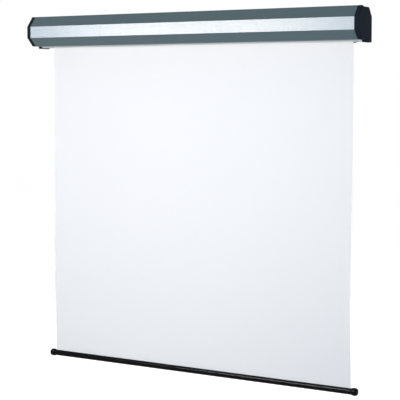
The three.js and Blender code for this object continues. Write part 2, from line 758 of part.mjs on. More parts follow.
// Right end: a fixed spear held by its flat end in the right bracket
function makeSpear() {
  let spear = solidOf(rod(spearEndX, spearShoulderX, spearRadius));
  const flatEnd = bracketX + spearFlatLength;
  spear = spear.add(solidOf(block(
    [spearShoulderX - cutOverrun, -spearFlatThickness / 2, -spearFlatHeight / 2],
    [flatEnd, spearFlatThickness / 2, spearFlatHeight / 2],
  )));
  const ratchetPinX = (ratchetEndX + ratchetHubEndX) / 2;
  const pinHole = radialRod(ratchetPinX, -ratchetRadius, ratchetRadius, ratchetPinRadius + fitGap);
  const retainerX = bracketX + fitGap + retainerPinRadius + fitGap;
  const retainerHole = rodAlongY(
    retainerX, 0, -retainerPinLength / 2, retainerPinLength / 2, retainerPinRadius + fitGap,
  );
  spear = spear.subtract(solidOf(pinHole)).subtract(solidOf(retainerHole));
  place(axleGroup, 'spring_spear', geometryOf(spear), zincSteel);
  const retainer = rodAlongY(
    retainerX, 0, -retainerPinLength / 2, retainerPinLength / 2, retainerPinRadius,
  );
  place(axleGroup, 'spear_retainer_pin', retainer, zincSteel);
  const ratchetPin = radialRod(ratchetPinX, -ratchetHubRadius, ratchetHubRadius, ratchetPinRadius);
  place(axleGroup, 'ratchet_pin', ratchetPin, zincSteel);
  let wheel = solidOf(turned([
    [ratchetX, spearRadius + fitGap], [ratchetX, ratchetRadius], [ratchetEndX, ratchetRadius],
    [ratchetEndX, ratchetHubRadius], [ratchetHubEndX, ratchetHubRadius],
    [ratchetHubEndX, spearRadius + fitGap], [ratchetX, spearRadius + fitGap],
  ]));
  const notchHalf = pawlToothWidth / 2 + notchSideClearance;
  for (const turn of [0, Math.PI]) {
    const notch = block(
      [ratchetX - cutOverrun, ratchetRadius - notchDepth, -notchHalf],
      [ratchetEndX, ratchetRadius + cutOverrun, notchHalf],
    );
    wheel = wheel.subtract(solidOf(notch.rotateX(notchAngle + turn)));
  }
  wheel = wheel.subtract(solidOf(pinHole));
  place(axleGroup, 'ratchet_wheel', geometryOf(wheel), zincSteel);
}

// Right plug with its bush and the two pins that the pawls swing on
function makePawlPlug() {
  let plug = plugBody(spearBushRadius + fitGap);
  for (const sign of [1, -1]) {
    const seat = rod(plugFaceX - pawlPinSeatDepth, plugFaceX + cutOverrun, pawlPinRadius + fitGap);
    plug = plug.subtract(solidOf(seat.translate(0, 0, sign * pawlPivotRadius)));
  }
  place(rollerGroup, 'pawl_plug', geometryOf(plug), whiteNylon);
  const bush = ring(plugEndX, plugFaceX, spearRadius + fitGap, spearBushRadius);
  place(rollerGroup, 'spear_bush', bush, whiteNylon);
  const headX = ratchetEndX + fitGap;
  for (const [letter, sign] of [['a', 1], ['b', -1]]) {
    const pin = turned([
      [plugFaceX - pawlPinSeatDepth + fitGap, 0], [plugFaceX - pawlPinSeatDepth + fitGap, pawlPinRadius],
      [headX, pawlPinRadius], [headX, pawlPinHeadRadius], [headX + pawlPinHeadHeight, pawlPinHeadRadius],
      [headX + pawlPinHeadHeight, 0],
    ], coarseSides);
    place(rollerGroup, `pawl_pin_${letter}`, pin.translate(0, 0, sign * pawlPivotRadius), zincSteel);
  }
}

// One pawl, drawn dropped into its notch about its own pivot, then lifted clear of the wheel
function pawlGeometry() {
  const pivot = new THREE.Vector2(0, pawlPivotRadius);
  const out = new THREE.Vector2(Math.cos(notchAngle), Math.sin(notchAngle));
  const along = new THREE.Vector2(-out.y, out.x);
  const halfTooth = pawlToothWidth / 2;
  const tipRadius = ratchetRadius - notchDepth + notchSideClearance;
  const armRadius = ratchetRadius + pawlRimClearance;
  const at = (radius, side) => out.clone().multiplyScalar(radius).addScaledVector(along, side);
  const toBoss = pivot.clone().sub(at(armRadius + pawlArmHeight / 2, 0)).normalize();
  const aside = new THREE.Vector2(toBoss.y, -toBoss.x).multiplyScalar(pawlBossRadius);
  const arm = outline([
    at(tipRadius, -halfTooth), at(armRadius + pawlArmHeight, -halfTooth),
    pivot.clone().add(aside), pivot.clone().sub(aside),
    at(armRadius, halfTooth), at(tipRadius, halfTooth),
  ].map((point) => point.clone().sub(pivot).toArray()));
  const boss = rod(ratchetX, ratchetEndX, pawlBossRadius, coarseSides);
  const bore = rod(ratchetX - cutOverrun, ratchetEndX + cutOverrun, pawlPinRadius + fitGap, coarseSides);
  const pawl = solidOf(alongX(arm, ratchetX, ratchetEndX)).add(solidOf(boss)).subtract(solidOf(bore));
  return geometryOf(pawl).rotateX(pawlLift);
}

function makePawls() {
  for (const [letter, turn] of [['a', 0], ['b', Math.PI]]) {
    const carrier = new THREE.Group();
    carrier.rotation.x = turn;
    rollerGroup.add(carrier);
    const pawl = place(carrier, `pawl_${letter}`, pawlGeometry(), zincSteel);
    pawl.position.z = pawlPivotRadius;
  }
}

// A closed tube along points, with its rings turned as little as possible from one to the next
function tubeAlong(points, radius, ringSides) {
  const places = [];
  const faces = [];
  let across = new THREE.Vector3(0, 0, 1);
  points.forEach((point, i) => {
    const ahead = points[Math.min(i + 1, points.length - 1)];
    const behind = points[Math.max(i - 1, 0)];
    const run = ahead.clone().sub(behind).normalize();
    across = across.clone().addScaledVector(run, -across.dot(run)).normalize();
    const up = run.clone().cross(across);
    for (let k = 0; k < ringSides; k += 1) {
      const angle = 2 * Math.PI * k / ringSides;
      const spoke = across.clone().multiplyScalar(Math.cos(angle)).addScaledVector(up, Math.sin(angle));
      places.push(...point.clone().addScaledVector(spoke, radius).toArray());
    }
  });
  const last = (points.length - 1) * ringSides;
  for (let i = 0; i + 1 < points.length; i += 1) {
    for (let k = 0; k < ringSides; k += 1) {
      const a = i * ringSides + k;
      const b = i * ringSides + (k + 1) % ringSides;
      faces.push(a, b, b + ringSides, a, b + ringSides, a + ringSides);
    }
  }
  for (let k = 1; k + 1 < ringSides; k += 1) {
    faces.push(0, k + 1, k, last, last + k, last + k + 1);
  }
  const geometry = new THREE.BufferGeometry();
  geometry.setAttribute('position', new THREE.BufferAttribute(Float32Array.from(places), 3));
  geometry.setIndex(faces);
  return facingOut(geometry);
}

// Least distance between a winding's own turns, measured on its centre points
function leastOwnGap(points, radius, skip) {
  let least = Infinity;
  points.forEach((point, i) => {
    for (let j = i + skip; j < points.length; j += 1) {
      least = Math.min(least, point.distanceTo(points[j]) - 2 * radius);
    }
  });
  return least;
}

// Torsion spring between a collar on the fixed spear and an anchor in the turning tube
function makeSpring() {
  const x0 = anchorEndX + fitGap;
  const x1 = collarX - fitGap;
  const coilStart = x0 + springTail;
  const coilRun = x1 - x0 - 2 * springTail;
  const points = [new THREE.Vector3(x0, 0, springCoilRadius)];
  const steps = springCoils * springStepsPerCoil;
  for (let i = 0; i <= steps; i += 1) {
    const angle = 2 * Math.PI * i / springStepsPerCoil;
    points.push(new THREE.Vector3(
      coilStart + coilRun * i / steps,
      springCoilRadius * Math.sin(angle),
      springCoilRadius * Math.cos(angle),
    ));
  }
  points.push(new THREE.Vector3(x1, 0, springCoilRadius));
  const gap = leastOwnGap(points, springWireRadius, springStepsPerCoil / 2);
  console.log(`torsion spring: least gap between its turns ${gap.toFixed(2)} mm`);
  place(axleGroup, 'torsion_spring', tubeAlong(points, springWireRadius, springSides), zincSteel);
  const collar = ring(collarX, collarX + collarThickness, spearRadius + fitGap, collarRadius);
  place(axleGroup, 'spring_collar', collar, zincSteel);
  const anchor = ring(spearEndX, anchorEndX, spearBushRadius + fitGap, spigotRadius, fineSides);
  place(rollerGroup, 'spring_anchor', anchor, zincSteel);
  const bush = ring(spearEndX, anchorEndX, spearRadius + fitGap, spearBushRadius);
  place(rollerGroup, 'anchor_bush', bush, whiteNylon);
}

// Weighted bar: a slotted tube, the rod that holds the cloth's hem in it, and two end knobs
function makeBar() {
  const slotOuter = Math.asin(barSlotWidth / 2 / barRadius);
  const slotInner = Math.asin(barSlotWidth / 2 / barBore);
  const top = Math.PI / 2;
  const section = new THREE.Shape();
  section.absarc(0, 0, barRadius, top + slotOuter, top - slotOuter + 2 * Math.PI, false);
  section.absarc(0, 0, barBore, top - slotInner + 2 * Math.PI, top + slotInner, true);
  place(barGroup, 'bar_tube', alongX(section, -clothHalf, clothHalf, mediumSides), glossBlack);
  const rodHalf = clothHalf - knobSpigotLength - hemRodEndGap;
  const rodZ = barBore - fitGap - hemRodRadius;
  const hemRod = rod(-rodHalf, rodHalf, hemRodRadius, coarseSides).translate(0, 0, rodZ);
  place(barGroup, 'hem_rod', hemRod, whiteNylon);
  const shoulder = clothHalf + fitGap;
  const knob = () => turned([
    [clothHalf - knobSpigotLength, 0], [clothHalf - knobSpigotLength, barBore - fitGap],
    [shoulder, barBore - fitGap], [shoulder, knobNeckRadius], [shoulder + knobNeckLength, knobNeckRadius],
    ...knobShares.map(([run, size]) => [shoulder + run * knobLength, size * knobRadius]),
    [shoulder + knobLength, 0],
  ]);
  place(barGroup, 'left_bar_knob', knob().rotateY(Math.PI), glossBlack);
  place(barGroup, 'right_bar_knob', knob(), glossBlack);
}

makeShell();
makeFrontBand();
makeSlotLip();
makeWallRail();
for (const [side, sign] of sides) makeEndCap(`${side}_end_cap`, sign);
makeBrackets();
makeFasteners();
makeIdleEnd();
makeSpear();
makeSpring();
makePawlPlug();
makePawls();
makeRoller();
makeCloth();
makeBar();
console.log(`bar travel ${barTravel.toFixed(3)} mm over ${fullTurns} turns of the roller`);

export default screen;
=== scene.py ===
"""Looks of a pull down projector screen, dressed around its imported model.

Lengths are in metres in the model's frame: X runs along the screen, +Y points into the wall and
+Z is up. The wall plane is Y 0, and Z 0 is the middle of the silver front band.
"""

import json
import logging
import math
from dataclasses import dataclass
from enum import Enum

import bmesh
import bpy
from mathutils import Matrix, Vector

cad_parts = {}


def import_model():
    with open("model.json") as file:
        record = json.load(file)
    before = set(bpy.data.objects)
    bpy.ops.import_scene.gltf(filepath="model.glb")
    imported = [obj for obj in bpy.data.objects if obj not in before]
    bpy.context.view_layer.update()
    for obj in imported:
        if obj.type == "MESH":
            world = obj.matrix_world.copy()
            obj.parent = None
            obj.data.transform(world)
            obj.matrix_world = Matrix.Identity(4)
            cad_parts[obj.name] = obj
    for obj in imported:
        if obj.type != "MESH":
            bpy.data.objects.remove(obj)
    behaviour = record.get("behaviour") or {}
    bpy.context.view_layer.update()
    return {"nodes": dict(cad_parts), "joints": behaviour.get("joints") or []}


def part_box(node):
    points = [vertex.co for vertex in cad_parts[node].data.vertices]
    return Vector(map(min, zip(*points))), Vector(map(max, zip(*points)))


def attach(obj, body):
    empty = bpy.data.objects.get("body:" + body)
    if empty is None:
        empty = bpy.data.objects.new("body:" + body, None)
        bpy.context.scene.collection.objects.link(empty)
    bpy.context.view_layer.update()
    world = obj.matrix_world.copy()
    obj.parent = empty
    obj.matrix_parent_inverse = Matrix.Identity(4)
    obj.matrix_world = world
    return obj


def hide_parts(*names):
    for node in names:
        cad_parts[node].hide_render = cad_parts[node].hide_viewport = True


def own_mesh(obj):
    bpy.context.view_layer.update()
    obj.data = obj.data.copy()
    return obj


log = logging.getLogger("projector_screen")

MM = 0.001
FULL_TURN = 2 * math.pi
FIT_GAP = 0.3 * MM
CLOTH_THICKNESS = 0.5 * MM
FINE_SIDES = 96  # steps round a body that is seen close up
CORNER_SHARE = 0.45  # the most of a side that one rounded corner takes
FLAT_HALF_ANGLE = 89  # degrees: a corner with a larger half angle stays a point
MIX_SHARE, MIX_LOW, MIX_HIGH, MIX_RESULT = 0, 6, 7, 2  # a Mix node's sockets for colours

Colour = tuple[float, float, float]
Point = tuple[float, float, float]
Outline = list[tuple[float, float]]


class Body(Enum):
    """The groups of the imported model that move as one."""

    CASE = "case"
    ROLLER = "roller"
    BAR = "weight_bar"


class Slot(Enum):
    """The record's material slots."""

    CASE_PAINT = "case_paint"
    BRUSHED_SILVER = "brushed_silver"
    BARE_ALUMINIUM = "bare_aluminium"
    CAP_PLASTIC = "cap_plastic"
    RAIL_PAINT = "rail_paint"
    SCREEN_FABRIC = "screen_fabric"
    BAR_PAINT = "bar_paint"
    KNOB_PLASTIC = "knob_plastic"
    ZINC_STEEL = "zinc_steel"
    WHITE_NYLON = "white_nylon"


class Use(Enum):
    """What a lamp is for."""

    LIGHT = "lights the surfaces"
    GLINT = "shows in gloss"
    BOTH = "does both"


class Along(Enum):
    """The axis that a grain, a brushing or a die line runs along."""

    X = 0
    Y = 1
    Z = 2


class Value:
    """A shader socket that takes part in sums: each operator adds its Math node."""

    def __init__(self, graph: "Graph", socket: bpy.types.NodeSocket) -> None:
        """Keeps the socket and the graph that it belongs to."""
        self.graph = graph
        self.socket = socket

    def _math(self, operation: str, *terms: "Value | float") -> "Value":
        """Adds a Math node.

        Args:
            operation: The node's operation.
            terms: Its inputs in order.

        Returns:
            The node's result.
        """
        return self.graph.node("ShaderNodeMath", {"operation": operation}, dict(enumerate(terms)))

    def __add__(self, other: "Value | float") -> "Value":
        """self + other."""
        return self._math("ADD", self, other)

    __radd__ = __add__

    def __sub__(self, other: "Value | float") -> "Value":
        """self - other."""
        return self._math("SUBTRACT", self, other)

    def __rsub__(self, other: "Value | float") -> "Value":
        """other - self."""
        return self._math("SUBTRACT", other, self)

    def __mul__(self, other: "Value | float") -> "Value":
        """self * other."""
        return self._math("MULTIPLY", self, other)

    __rmul__ = __mul__

    def mixed(self, other: "Value", share: float) -> "Value":
        """The value with a share of another one mixed in."""
        return (1 - share) * self + share * other

    def sine(self) -> "Value":
        """Sine of the value, in radians."""
        return self._math("SINE", self)

    def clamped(self) -> "Value":
        """The value held between 0 and 1."""
        return self.graph.node("ShaderNodeClamp", {}, {"Value": self})


class Graph:
    """A node tree, and the few kinds of node that the finishes share."""

    def __init__(self, owner: bpy.types.Material | bpy.types.World) -> None:
        """Empties the owner's node tree and keeps it."""
        owner.use_nodes = True
        self.tree = owner.node_tree
        self.tree.nodes.clear()

    def node(self, kind: str, settings: dict, inputs: dict, output: int | str = 0) -> Value | None:
        """Adds any node.

        Args:
            kind: The node's type.
            settings: What is set on it before its sockets, such as a Math node's operation.
            inputs: Values or links of its sockets, by name or number.
            output: The output that is wanted.

        Returns:
            That output, or None for a node that has none.
        """
        made = self.tree.nodes.new(kind)
        for name, value in settings.items():
            setattr(made, name, value)
        for name, value in inputs.items():
            if isinstance(value, Value):
                self.tree.links.new(value.socket, made.inputs[name])
            else:
                made.inputs[name].default_value = value
        return Value(self, made.outputs[output]) if len(made.outputs) else None

    def place(self) -> Value:
        """The point on the piece, in metres, in the model's frame."""
        return self.node("ShaderNodeTexCoord", {}, {}, "Object")

    def axis(self, along: Along) -> Value:
        """The point's distance along one axis."""
        return self.node("ShaderNodeSeparateXYZ", {}, {0: self.place()}, along.value)

    def drawn_out(self, along: Along, length: float, width: float) -> Value:
        """The point, scaled so that a pattern on it is drawn out along one axis.

        Args:
            along: The axis of the long way.
            length: The pattern's length, in metres.
            width: The pattern's width, in metres.

        Returns:
            The scaled point.
        """
        scale = [1 / width] * len(Along)
        scale[along.value] = 1 / length
        sockets = {0: self.place(), 1: scale}
        return self.node("ShaderNodeVectorMath", {"operation": "MULTIPLY"}, sockets)

    def noise(self, size: float, detail: float = 2.0, point: Value | None = None) -> Value:
        """Soft noise from 0 to 1.

        Args:
            size: The size of its blotches, in the point's unit.
            detail: How many finer layers it has.
            point: Where it is read, which is the point on the piece where none is given.

        Returns:
            The noise.
        """
        sockets = {"Vector": point or self.place(), "Scale": 1 / size, "Detail": detail}
        return self.node("ShaderNodeTexNoise", {}, sockets)

    def cells(self, size: float) -> Value:
        """Distance to the nearest of scattered points, for grain.

        Args:
            size: The usual distance between the points.

        Returns:
            The distance, from 0 to about 1.
        """
        return self.node("ShaderNodeTexVoronoi", {}, {"Vector": self.place(), "Scale": 1 / size})

    def between(self, low: Colour, high: Colour, mask: Value) -> Value:
        """Mixes two colours.

        Args:
            low: The colour where the mask is 0.
            high: The colour where it is 1.
            mask: The share of the second colour.

        Returns:
            The mixed colour.
        """
        sockets = {MIX_SHARE: mask, MIX_LOW: (*low, 1.0), MIX_HIGH: (*high, 1.0)}
        return self.node("ShaderNodeMix", {"data_type": "RGBA"}, sockets, MIX_RESULT)

    def bump(self, height: Value, depth: float) -> Value:
        """A normal that follows a height.

        Args:
            height: The height, from 0 to 1.
            depth: How much a height of 1 stands out, in metres.

        Returns:
            The normal.
        """
        sockets = {"Height": height, "Distance": depth, "Strength": 1.0}
        return self.node("ShaderNodeBump", {}, sockets)

    def coloured(self, kind: str, colour: Colour) -> Value:
        """A background, a glow or a matt surface of one colour."""
        return self.node(kind, {}, {"Color": (*colour, 1.0)})

    def both_shaders(self, share: Value, first: Value, second: Value) -> Value:
        """Two shaders mixed, where the share is that of the second."""
        return self.node("ShaderNodeMixShader", {}, {0: share, 1: first, 2: second})


@dataclass(frozen=True)
class Finish:
    """A surface finish: a slot of the record, its colour and how it shines."""

    slot: Slot
    colour: Colour
    roughness: float
    metallic: float = 0.0
    specular: float = 0.5
    colour_spread: float = 0.04
    roughness_spread: float = 0.1

    def pattern(self, graph: Graph) -> tuple[Value, Value, Value]:
        """Draws the finish's own detail.

        Args:
            graph: The material's nodes.

        Returns:
            A colour mask and a roughness mask, both from 0 to 1, and the normal.
        """
        raise NotImplementedError

    def tint(self, share: float) -> Colour:
        """The colour made lighter or darker by a share of itself."""
        return tuple(channel * (1 + share) for channel in self.colour)

    def material(self) -> bpy.types.Material:
        """Makes the material, or returns the one that was made before."""
        name = f"{self.slot.value}_finish"
        known = bpy.data.materials.get(name)
        if known:
            return known
        made = bpy.data.materials.new(name)
        graph = Graph(made)
        mask, gloss, normal = self.pattern(graph)
        colour = graph.between(self.tint(-self.colour_spread), self.tint(self.colour_spread), mask)
        surface = graph.node("ShaderNodeBsdfPrincipled", {}, {
            "Base Color": colour,
            "Roughness": self.roughness + self.roughness_spread * (gloss - 0.5),
            "Metallic": self.metallic,
            "Specular IOR Level": self.specular,
            "Normal": normal,
        })
        graph.node("ShaderNodeOutputMaterial", {}, {"Surface": surface})
        return made

    def put_on(self, piece: bpy.types.Object) -> None:
        """Puts the finish on a piece.

        Args:
            piece: A CAD node or a piece of the scene.
        """
        piece.data.materials.clear()
        piece.data.materials.append(self.material())


@dataclass(frozen=True)
class SprayedPaint(Finish):
    """Baked paint: a fine orange peel and a slow drift of tone."""

    peel_size: float = 1.6 * MM
    peel_depth: float = 0.012 * MM
    drift_size: float = 90 * MM
    speck_size: float = 0.4 * MM
    speck_share: float = 0.4

    def pattern(self, graph: Graph) -> tuple[Value, Value, Value]:
        """Orange peel in the normal, drift in the colour.

        Args:
            graph: The material's nodes.

        Returns:
            A colour mask, a roughness mask and the normal.
        """
        peel = graph.noise(self.peel_size)
        drift = graph.noise(self.drift_size, detail=4)
        speck = graph.noise(self.speck_size, detail=1)
        return drift.mixed(speck, self.speck_share), drift, graph.bump(peel, self.peel_depth)


@dataclass(frozen=True)
class LinedMetal(Finish):
    """Metal with fine lines along one axis, from a brush or from an extrusion die."""

    along: Along = Along.X
    line_length: float = 90 * MM
    line_width: float = 0.35 * MM
    line_depth: float = 0.006 * MM
    band_length: float = 360 * MM
    band_width: float = 2.6 * MM
    band_share: float = 0.5

    def pattern(self, graph: Graph) -> tuple[Value, Value, Value]:
        """Fine lines in the normal and the gloss, broader ones in the colour.

        Args:
            graph: The material's nodes.

        Returns:
            A colour mask, a roughness mask and the normal.
        """
        lines = graph.drawn_out(self.along, self.line_length, self.line_width)
        bands = graph.drawn_out(self.along, self.band_length, self.band_width)
        fine = graph.noise(1.0, detail=3, point=lines)
        broad = graph.noise(1.0, detail=2, point=bands)
        return fine.mixed(broad, self.band_share), fine, graph.bump(fine, self.line_depth)


@dataclass(frozen=True)
class MouldedPlastic(Finish):
    """Plastic from a grained mould: shallow cells and a little unevenness."""

    grain_size: float = 0.9 * MM
    grain_depth: float = 0.03 * MM
    drift_size: float = 35 * MM
    drift_share: float = 0.3

    def pattern(self, graph: Graph) -> tuple[Value, Value, Value]:
        """Grain in the normal and the colour, drift in the gloss.

        Args:
            graph: The material's nodes.

        Returns:
            A colour mask, a roughness mask and the normal.
        """
        grain = graph.cells(self.grain_size)
        drift = graph.noise(self.drift_size, detail=3)
        mask = grain.mixed(drift, self.drift_share).clamped()
        return mask, drift, graph.bump(grain, self.grain_depth)


@dataclass(frozen=True)
class CoatedCloth(Finish):
    """Matt white coated glass cloth: a plain weave under the coating."""

    thread_pitch: float = 0.9 * MM
    weave_depth: float = 0.025 * MM
    slub_length: float = 36 * MM
    slub_height: float = 0.4
    slub_share: float = 0.4
    drift_size: float = 160 * MM

    def pattern(self, graph: Graph) -> tuple[Value, Value, Value]:
        """Weave in the normal, slubs and drift in the colour.

        Args:
            graph: The material's nodes.

        Returns:
            A colour mask, a roughness mask and the normal.
        """
        turns = FULL_TURN / self.thread_pitch / 2
        warp = (turns * graph.axis(Along.X)).sine()
        weft = (turns * graph.axis(Along.Z)).sine()
        threads = graph.drawn_out(Along.X, self.slub_length, self.thread_pitch)
        slub = graph.noise(1.0, detail=2, point=threads)
        weave = (0.5 + 0.5 * warp * weft) * (1 - self.slub_height / 2 + self.slub_height * slub)
        drift = graph.noise(self.drift_size, detail=3)
        mask = drift.mixed(slub, self.slub_share).clamped()
        return mask, drift, graph.bump(weave, self.weave_depth)


@dataclass(frozen=True)
class PlatedSteel(Finish):
    """Zinc plate: cloudy blotches and a fine tooth."""

    cloud_size: float = 7 * MM
    tooth_size: float = 0.4 * MM
    tooth_depth: float = 0.008 * MM
    tooth_share: float = 0.2

    def pattern(self, graph: Graph) -> tuple[Value, Value, Value]:
        """Clouds in the colour and the gloss, tooth in the normal.

        Args:
            graph: The material's nodes.

        Returns:
            A colour mask, a roughness mask and the normal.
        """
        cloud = graph.noise(self.cloud_size, detail=3)
        tooth = graph.noise(self.tooth_size, detail=2)
        return cloud.mixed(tooth, self.tooth_share), cloud, graph.bump(tooth, self.tooth_depth)


SLATE_PAINT = SprayedPaint(Slot.CASE_PAINT, (0.061, 0.103, 0.117), 0.42, specular=0.45)
RAIL_BLACK = SprayedPaint(Slot.RAIL_PAINT, (0.010, 0.011, 0.013), 0.45, specular=0.12)
BAR_BLACK = SprayedPaint(Slot.BAR_PAINT, (0.003, 0.003, 0.004), 0.25, specular=0.05)
BRUSHED_SILVER = LinedMetal(Slot.BRUSHED_SILVER, (0.51, 0.595, 0.68), 0.27, metallic=1.0)
BARE_ALUMINIUM = LinedMetal(
    Slot.BARE_ALUMINIUM, (0.67, 0.73, 0.77), 0.38, metallic=1.0, colour_spread=0.03
)
CAP_BLACK = MouldedPlastic(Slot.CAP_PLASTIC, (0.012, 0.019, 0.026), 0.6, specular=0.02)
KNOB_BLACK = MouldedPlastic(
    Slot.KNOB_PLASTIC, (0.003, 0.003, 0.004), 0.25, specular=0.06, grain_depth=0.008 * MM
)
NYLON_WHITE = MouldedPlastic(
    Slot.WHITE_NYLON, (0.78, 0.77, 0.72), 0.45, grain_size=1.6 * MM, grain_depth=0.012 * MM
)
MATT_CLOTH = CoatedCloth(
    Slot.SCREEN_FABRIC, (0.885, 0.892, 0.905), 0.9, specular=0.15, colour_spread=0.008
)
ZINC_PLATE = PlatedSteel(
    Slot.ZINC_STEEL, (0.62, 0.64, 0.66), 0.34, metallic=1.0, colour_spread=0.09
)


def rounded(points: Outline, radius: float, closed: bool = True, steps: int = 3) -> Outline:
    """Rounds the corners of an outline.

    Args:
        points: The corners in order.
        radius: The corner radius, taken smaller where a side is short.
        closed: Whether the last point joins the first; an open outline keeps its two ends.
        steps: The steps of each arc.

    Returns:
        The rounded outline.
    """
    made = []
    for i, here in enumerate(points):
        if not closed and i in (0, len(points) - 1):
            made.append(here)
            continue
        corner = Vector(here)
        back = Vector(points[i - 1]) - corner
        ahead = Vector(points[(i + 1) % len(points)]) - corner
        half = back.angle(ahead) / 2
        cut = min(radius / math.tan(half), CORNER_SHARE * min(back.length, ahead.length))
        if math.degrees(half) > FLAT_HALF_ANGLE:
            made.append(here)
            continue
        back, ahead = back.normalized(), ahead.normalized()
        start, end = corner + back * cut, corner + ahead * cut
        middle = corner + (back + ahead).normalized() * cut / math.cos(half)
        reach = start - middle
        sweep = reach.angle_signed(end - middle)
        for step in range(steps + 1):
            made.append(tuple(middle + Matrix.Rotation(-sweep * step / steps, 2) @ reach))
    return made


def drawn_in(points: Outline, distance: float) -> Outline:
    """Moves a closed outline inwards.

    Args:
        points: The outline.
        distance: How far every side moves.

    Returns:
        The smaller outline, with as many points.
    """
    area = sum(a[0] * b[1] - b[0] * a[1] for a, b in zip(points, points[1:] + points[:1]))
    way = 1 if area > 0 else -1
    made = []
    for i, here in enumerate(points):
        into = (Vector(here) - Vector(points[i - 1])).normalized()
        out = (Vector(points[(i + 1) % len(points)]) - Vector(here)).normalized()
        before, after = Vector((-into.y, into.x)), Vector((-out.y, out.x))
        mitre = before + after
        made.append(tuple(Vector(here) + mitre * (way * distance / mitre.dot(after))))
    return made


def linked(name: str, data: bpy.types.ID) -> bpy.types.Object:
    """Adds an object to the scene."""
    made = bpy.data.objects.new(name, data)
    bpy.context.scene.collection.objects.link(made)
    return made


def mesh_object(
    name: str, vertices: list, faces: list, smooth_below: float = 32.0
) -> bpy.types.Object:
    """Makes an object from points and faces, facing out.

    Args:
        name: The piece's name.
        vertices: Its points.
        faces: Its faces, as lists of point numbers.
        smooth_below: Edges that turn by less than this many degrees are shaded smooth.

    Returns:
        The new object.
    """
    mesh = bpy.data.meshes.new(name)
    mesh.from_pydata([tuple(point) for point in vertices], [], faces)
    shaped = bmesh.new()
    shaped.from_mesh(mesh)
    bmesh.ops.recalc_face_normals(shaped, faces=shaped.faces)
    for face in shaped.faces:
        face.smooth = True
    for edge in shaped.edges:
        edge.smooth = edge.calc_face_angle(math.pi) < math.radians(smooth_below)
    shaped.to_mesh(mesh)
    shaped.free()
    return linked(name, mesh)


def stitched(rings: list[list], capped: bool = True, looped: bool = False) -> tuple[list, list]:
    """Joins rings of equal point counts into one skin.

    Args:
        rings: The rings in order.
        capped: Whether the first and the last ring get a face of their own.
        looped: Whether the last ring joins the first.

    Returns:
        The points and the faces.
    """
    count = len(rings[0])
    faces = []
    for r in range(len(rings) - (not looped)):
        low, high = r * count, (r + 1) % len(rings) * count
        for i in range(count):
            j = (i + 1) % count
            faces.append([low + i, low + j, high + j, high + i])
    if capped:
        faces += [list(range(count)), list(range((len(rings) - 1) * count, len(rings) * count))]
    return [point for ring in rings for point in ring], faces


def extruded(name: str, section: Outline, low: float, high: float, edge: float) -> bpy.types.Object:
    """A section in the YZ plane, extruded along X, with softened ends.

    Args:
        name: The piece's name.
        section: The closed section as points of Y and Z.
        low: The X that it starts at.
        high: The X that it ends at.
        edge: The chamfer at each end.

    Returns:
        The new object.
    """
    small = drawn_in(section, edge)
    stations = [(low, small), (low + edge, section), (high - edge, section), (high, small)]
    return mesh_object(name, *stitched([[(x, *point) for point in line] for x, line in stations]))


def wire(name: str, points: list[Vector], radius: float, sides: int = 14) -> bpy.types.Object:
    """A round wire along points.

    Args:
        name: The piece's name.
        points: Its centre line.
        radius: Its radius.
        sides: The steps round it.

    Returns:
        The new object.
    """
    rings = []
    across = Vector((0, 0, 1))
    for i, point in enumerate(points):
        run = (points[min(i + 1, len(points) - 1)] - points[max(i - 1, 0)]).normalized()
        across = (across - run * across.dot(run)).normalized()
        other = run.cross(across)
        turns = [FULL_TURN * k / sides for k in range(sides)]
        rings.append([point + radius * (across * math.cos(t) + other * math.sin(t)) for t in turns])
    return mesh_object(name, *stitched(rings))


def axis_of(node: str) -> Matrix:
    """Where the lengthwise axis of a round node lies."""
    low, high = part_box(node)
    centre = (low + high) / 2
    return Matrix.Translation((0, centre.y, centre.z))


def in_place(piece: bpy.types.Object, finish: Finish, body: Body, node: str) -> None:
    """Finishes a new piece and lets it stand for its CAD node.

    Args:
        piece: The piece.
        finish: Its finish.
        body: The body that it moves with.
        node: The CAD node that it replaces.
    """
    finish.put_on(piece)
    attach(piece, body.value)
    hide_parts(node)
    log.info("%s stands for %s", piece.name, node)


def turned(
    node: str, finish: Finish, body: Body, place: Matrix, profile: Outline,
    edge: float = 0.3 * MM, hollow: bool = False, sides: int = 72,
) -> None:
    """Makes a body that is turned about its own X axis and stands for a CAD node.

    Args:
        node: The node.
        finish: Its finish.
        body: The body that it moves with.
        place: Where its own frame lies in the model's.
        profile: Its half section as points of X and radius. A solid body's starts and ends on
            the axis, and a hollow one's closes on itself.
        edge: The radius of its edges.
        hollow: Whether it has a bore.
        sides: The steps round it.
    """
    line = rounded(profile, edge, closed=hollow)
    if not hollow:
        line = line[1:-1]
    turns = [FULL_TURN * i / sides for i in range(sides)]
    rings = [
        [place @ Vector((x, radius * math.sin(turn), radius * math.cos(turn))) for turn in turns]
        for x, radius in line
    ]
    piece = mesh_object(f"fine_{node}", *stitched(rings, capped=not hollow, looped=hollow))
    in_place(piece, finish, body, node)


